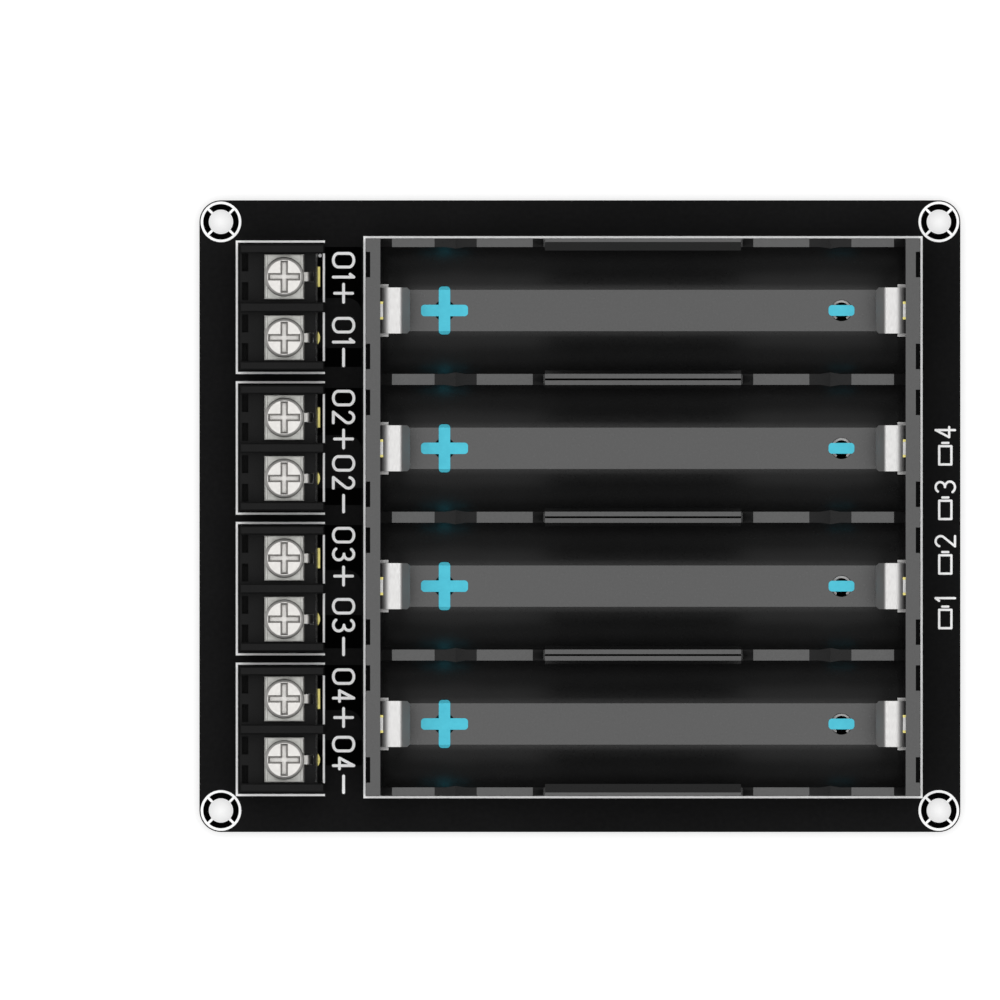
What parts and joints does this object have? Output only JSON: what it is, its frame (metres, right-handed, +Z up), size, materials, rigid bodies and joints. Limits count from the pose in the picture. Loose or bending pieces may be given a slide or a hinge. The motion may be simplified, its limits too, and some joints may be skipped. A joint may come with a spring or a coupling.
{
  "type": "cylindrical cell holder",
  "caption": "Open tray for cylindrical cells with leaf contacts, soldered to a black circuit board beside barrier screw terminal blocks.",
  "frame": {"origin": "under the middle of the board, level with the tips of the solder-side pins", "axes": "+X from the terminal blocks towards the far end of the tray, along the cells; +Y across the bays; +Z up, away from the board"},
  "size_m": [0.106, 0.088, 0.0186],
  "materials": {
    "board": "black solder mask on glass-epoxy board",
    "print": "white printed ink",
    "pad": "gold-plated copper",
    "solder": "bright solder",
    "tray": "satin black moulded plastic",
    "mark": "cyan film",
    "contact": "bright tin on spring steel",
    "housing": "matte black moulded plastic",
    "strip": "tinned brass",
    "clamp": "zinc-plated steel",
    "screw": "nickel-plated steel"
  },
  "bodies": {
    "holder": {"circuit_board": "board", "board_print": "print", "solder_pads": "pad", "solder_joints": "solder", "battery_tray": "tray", "plus_marks": "mark", "minus_marks": "mark", "positive_contact_1": "contact", "positive_contact_2": "contact", "positive_contact_3": "contact", "positive_contact_4": "contact", "negative_contact_1": "contact", "negative_contact_2": "contact", "negative_contact_3": "contact", "negative_contact_4": "contact", "terminal_housing_1": "housing", "terminal_housing_2": "housing", "terminal_housing_3": "housing", "terminal_housing_4": "housing", "terminal_strip_1_plus": "strip", "terminal_strip_1_minus": "strip", "terminal_strip_2_plus": "strip", "terminal_strip_2_minus": "strip", "terminal_strip_3_plus": "strip", "terminal_strip_3_minus": "strip", "terminal_strip_4_plus": "strip", "terminal_strip_4_minus": "strip"},
    "clamp_1_plus": {"wire_clamp_1_plus": "clamp"},
    "screw_1_plus": {"terminal_screw_1_plus": "screw"},
    "clamp_1_minus": {"wire_clamp_1_minus": "clamp"},
    "screw_1_minus": {"terminal_screw_1_minus": "screw"},
    "clamp_2_plus": {"wire_clamp_2_plus": "clamp"},
    "screw_2_plus": {"terminal_screw_2_plus": "screw"},
    "clamp_2_minus": {"wire_clamp_2_minus": "clamp"},
    "screw_2_minus": {"terminal_screw_2_minus": "screw"},
    "clamp_3_plus": {"wire_clamp_3_plus": "clamp"},
    "screw_3_plus": {"terminal_screw_3_plus": "screw"},
    "clamp_3_minus": {"wire_clamp_3_minus": "clamp"},
    "screw_3_minus": {"terminal_screw_3_minus": "screw"},
    "clamp_4_plus": {"wire_clamp_4_plus": "clamp"},
    "screw_4_plus": {"terminal_screw_4_plus": "screw"},
    "clamp_4_minus": {"wire_clamp_4_minus": "clamp"},
    "screw_4_minus": {"terminal_screw_4_minus": "screw"}
  },
  "joints": [
    {"name": "clamp_lift_1_plus", "type": "slide", "parent": "holder", "child": "clamp_1_plus", "axis": [0, 0, 1], "range_m": [0, 0.002]},
    {"name": "screw_turn_1_plus", "type": "hinge", "parent": "clamp_1_plus", "child": "screw_1_plus", "pos_m": [-0.04119, 0.03335, 0.0124], "axis": [0, 0, 1], "range_deg": [0, 1440]},
    {"name": "clamp_lift_1_minus", "type": "slide", "parent": "holder", "child": "clamp_1_minus", "axis": [0, 0, 1], "range_m": [0, 0.002]},
    {"name": "screw_turn_1_minus", "type": "hinge", "parent": "clamp_1_minus", "child": "screw_1_minus", "pos_m": [-0.04119, 0.02485, 0.0124], "axis": [0, 0, 1], "range_deg": [0, 1440]},
    {"name": "clamp_lift_2_plus", "type": "slide", "parent": "holder", "child": "clamp_2_plus", "axis": [0, 0, 1], "range_m": [0, 0.002]},
    {"name": "screw_turn_2_plus", "type": "hinge", "parent": "clamp_2_plus", "child": "screw_2_plus", "pos_m": [-0.04119, 0.01375, 0.0124], "axis": [0, 0, 1], "range_deg": [0, 1440]},
    {"name": "clamp_lift_2_minus", "type": "slide", "parent": "holder", "child": "clamp_2_minus", "axis": [0, 0, 1], "range_m": [0, 0.002]},
    {"name": "screw_turn_2_minus", "type": "hinge", "parent": "clamp_2_minus", "child": "screw_2_minus", "pos_m": [-0.04119, 0.00525, 0.0124], "axis": [0, 0, 1], "range_deg": [0, 1440]},
    {"name": "clamp_lift_3_plus", "type": "slide", "parent": "holder", "child": "clamp_3_plus", "axis": [0, 0, 1], "range_m": [0, 0.002]},
    {"name": "screw_turn_3_plus", "type": "hinge", "parent": "clamp_3_plus", "child": "screw_3_plus", "pos_m": [-0.04119, -0.00585, 0.0124], "axis": [0, 0, 1], "range_deg": [0, 1440]},
    {"name": "clamp_lift_3_minus", "type": "slide", "parent": "holder", "child": "clamp_3_minus", "axis": [0, 0, 1], "range_m": [0, 0.002]},
    {"name": "screw_turn_3_minus", "type": "hinge", "parent": "clamp_3_minus", "child": "screw_3_minus", "pos_m": [-0.04119, -0.01435, 0.0124], "axis": [0, 0, 1], "range_deg": [0, 1440]},
    {"name": "clamp_lift_4_plus", "type": "slide", "parent": "holder", "child": "clamp_4_plus", "axis": [0, 0, 1], "range_m": [0, 0.002]},
    {"name": "screw_turn_4_plus", "type": "hinge", "parent": "clamp_4_plus", "child": "screw_4_plus", "pos_m": [-0.04119, -0.02545, 0.0124], "axis": [0, 0, 1], "range_deg": [0, 1440]},
    {"name": "clamp_lift_4_minus", "type": "slide", "parent": "holder", "child": "clamp_4_minus", "axis": [0, 0, 1], "range_m": [0, 0.002]},
    {"name": "screw_turn_4_minus", "type": "hinge", "parent": "clamp_4_minus", "child": "screw_4_minus", "pos_m": [-0.04119, -0.03395, 0.0124], "axis": [0, 0, 1], "range_deg": [0, 1440]}
  ],
  "couplings": [
    {"joint": "screw_turn_1_plus", "follows": "clamp_lift_1_plus", "rad_per_m": 12566},
    {"joint": "screw_turn_1_minus", "follows": "clamp_lift_1_minus", "rad_per_m": 12566},
    {"joint": "screw_turn_2_plus", "follows": "clamp_lift_2_plus", "rad_per_m": 12566},
    {"joint": "screw_turn_2_minus", "follows": "clamp_lift_2_minus", "rad_per_m": 12566},
    {"joint": "screw_turn_3_plus", "follows": "clamp_lift_3_plus", "rad_per_m": 12566},
    {"joint": "screw_turn_3_minus", "follows": "clamp_lift_3_minus", "rad_per_m": 12566},
    {"joint": "screw_turn_4_plus", "follows": "clamp_lift_4_plus", "rad_per_m": 12566},
    {"joint": "screw_turn_4_minus", "follows": "clamp_lift_4_minus", "rad_per_m": 12566}
  ]
}
